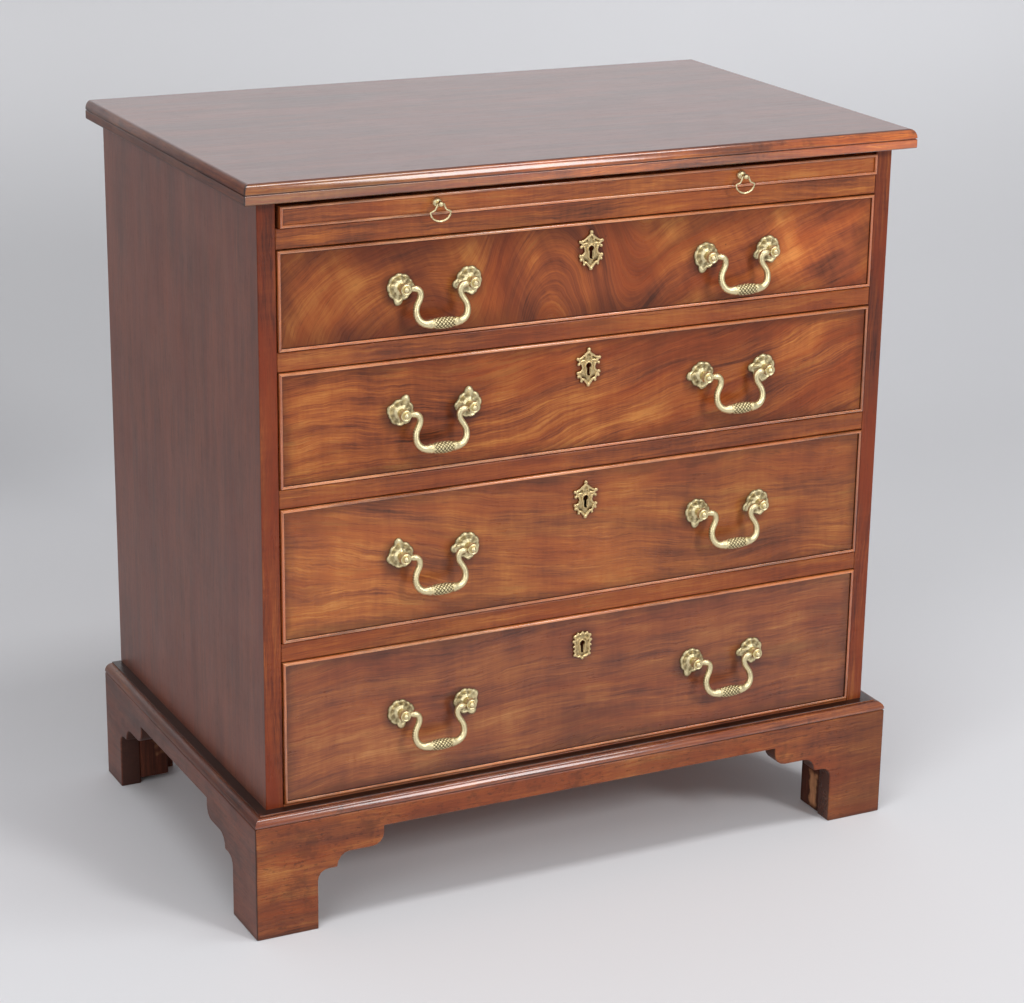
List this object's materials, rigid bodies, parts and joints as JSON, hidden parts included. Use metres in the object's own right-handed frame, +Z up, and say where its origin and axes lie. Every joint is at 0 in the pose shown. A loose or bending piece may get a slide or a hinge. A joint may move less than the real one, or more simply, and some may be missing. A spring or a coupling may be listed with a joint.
{
  "type": "chest of drawers",
  "caption": "Small Georgian style mahogany chest with a brushing slide over four graduated long drawers, swan neck bail handles and shaped bracket feet.",
  "frame": {"origin": "on the floor, below the middle of the whole piece with its handles (x across the width, y from the front of the bail grips to the back panel)", "axes": "+Z up, -Y out of the front, +X to the right of someone facing the front"},
  "size_m": [0.7908, 0.4996, 0.82],
  "materials": {
    "mahogany": "polished",
    "mahogany_dark": "polished",
    "oak": "dry",
    "pine": "dry",
    "brass": "aged"
  },
  "bodies": {
    "carcase": {"top_board": "mahogany_dark", "side_left": "mahogany_dark", "side_right": "mahogany_dark", "back_panel": "pine", "bottom_board": "mahogany", "base_moulding": "mahogany", "plinth_front": "mahogany", "plinth_left": "mahogany", "plinth_right": "mahogany", "rear_foot_left": "pine", "rear_foot_right": "pine", "slide_rail": "mahogany", "divider_1": "mahogany", "divider_2": "mahogany", "divider_3": "mahogany"},
    "brushing_slide": {"brushing_slide": "mahogany", "slide_knob_left": "brass", "slide_knob_right": "brass"},
    "slide_drop_left": {"slide_drop_left": "brass"},
    "slide_drop_right": {"slide_drop_right": "brass"},
    "drawer_1": {"drawer_1_front": "mahogany", "drawer_1_box": "oak", "drawer_1_bottom": "oak", "drawer_1_escutcheon": "brass", "drawer_1_rose_1": "brass", "drawer_1_rose_2": "brass", "drawer_1_rose_3": "brass", "drawer_1_rose_4": "brass"},
    "drawer_1_bail_left": {"drawer_1_bail_left": "brass"},
    "drawer_1_bail_right": {"drawer_1_bail_right": "brass"},
    "drawer_2": {"drawer_2_front": "mahogany", "drawer_2_box": "oak", "drawer_2_bottom": "oak", "drawer_2_escutcheon": "brass", "drawer_2_rose_1": "brass", "drawer_2_rose_2": "brass", "drawer_2_rose_3": "brass", "drawer_2_rose_4": "brass"},
    "drawer_2_bail_left": {"drawer_2_bail_left": "brass"},
    "drawer_2_bail_right": {"drawer_2_bail_right": "brass"},
    "drawer_3": {"drawer_3_front": "mahogany", "drawer_3_box": "oak", "drawer_3_bottom": "oak", "drawer_3_escutcheon": "brass", "drawer_3_rose_1": "brass", "drawer_3_rose_2": "brass", "drawer_3_rose_3": "brass", "drawer_3_rose_4": "brass"},
    "drawer_3_bail_left": {"drawer_3_bail_left": "brass"},
    "drawer_3_bail_right": {"drawer_3_bail_right": "brass"},
    "drawer_4": {"drawer_4_front": "mahogany", "drawer_4_box": "oak", "drawer_4_bottom": "oak", "drawer_4_escutcheon": "brass", "drawer_4_rose_1": "brass", "drawer_4_rose_2": "brass", "drawer_4_rose_3": "brass", "drawer_4_rose_4": "brass"},
    "drawer_4_bail_left": {"drawer_4_bail_left": "brass"},
    "drawer_4_bail_right": {"drawer_4_bail_right": "brass"}
  },
  "joints": [
    {"name": "brushing_slide_slide", "type": "slide", "parent": "carcase", "child": "brushing_slide", "axis": [0, -1, 0], "range_m": [0, 0.26]},
    {"name": "slide_drop_left_hinge", "type": "hinge", "parent": "brushing_slide", "child": "slide_drop_left", "pos_m": [-0.18, -0.23525, 0.7827], "axis": [-1, 0, 0], "range_deg": [-20, 135]},
    {"name": "slide_drop_right_hinge", "type": "hinge", "parent": "brushing_slide", "child": "slide_drop_right", "pos_m": [0.18, -0.23525, 0.7827], "axis": [-1, 0, 0], "range_deg": [-20, 135]},
    {"name": "drawer_1_slide", "type": "slide", "parent": "carcase", "child": "drawer_1", "axis": [0, -1, 0], "range_m": [0, 0.34]},
    {"name": "drawer_1_bail_left_hinge", "type": "hinge", "parent": "drawer_1", "child": "drawer_1_bail_left", "pos_m": [-0.1805, -0.23625, 0.69735], "axis": [-1, 0, 0], "range_deg": [0, 150]},
    {"name": "drawer_1_bail_right_hinge", "type": "hinge", "parent": "drawer_1", "child": "drawer_1_bail_right", "pos_m": [0.1805, -0.23625, 0.69735], "axis": [-1, 0, 0], "range_deg": [0, 150]},
    {"name": "drawer_2_slide", "type": "slide", "parent": "carcase", "child": "drawer_2", "axis": [0, -1, 0], "range_m": [0, 0.34]},
    {"name": "drawer_2_bail_left_hinge", "type": "hinge", "parent": "drawer_2", "child": "drawer_2_bail_left", "pos_m": [-0.1805, -0.23625, 0.5635], "axis": [-1, 0, 0], "range_deg": [0, 150]},
    {"name": "drawer_2_bail_right_hinge", "type": "hinge", "parent": "drawer_2", "child": "drawer_2_bail_right", "pos_m": [0.1805, -0.23625, 0.5635], "axis": [-1, 0, 0], "range_deg": [0, 150]},
    {"name": "drawer_3_slide", "type": "slide", "parent": "carcase", "child": "drawer_3", "axis": [0, -1, 0], "range_m": [0, 0.34]},
    {"name": "drawer_3_bail_left_hinge", "type": "hinge", "parent": "drawer_3", "child": "drawer_3_bail_left", "pos_m": [-0.1805, -0.23625, 0.4062], "axis": [-1, 0, 0], "range_deg": [0, 150]},
    {"name": "drawer_3_bail_right_hinge", "type": "hinge", "parent": "drawer_3", "child": "drawer_3_bail_right", "pos_m": [0.1805, -0.23625, 0.4062], "axis": [-1, 0, 0], "range_deg": [0, 150]},
    {"name": "drawer_4_slide", "type": "slide", "parent": "carcase", "child": "drawer_4", "axis": [0, -1, 0], "range_m": [0, 0.34]},
    {"name": "drawer_4_bail_left_hinge", "type": "hinge", "parent": "drawer_4", "child": "drawer_4_bail_left", "pos_m": [-0.1805, -0.23625, 0.22765], "axis": [-1, 0, 0], "range_deg": [0, 150]},
    {"name": "drawer_4_bail_right_hinge", "type": "hinge", "parent": "drawer_4", "child": "drawer_4_bail_right", "pos_m": [0.1805, -0.23625, 0.22765], "axis": [-1, 0, 0], "range_deg": [0, 150]}
  ]
}
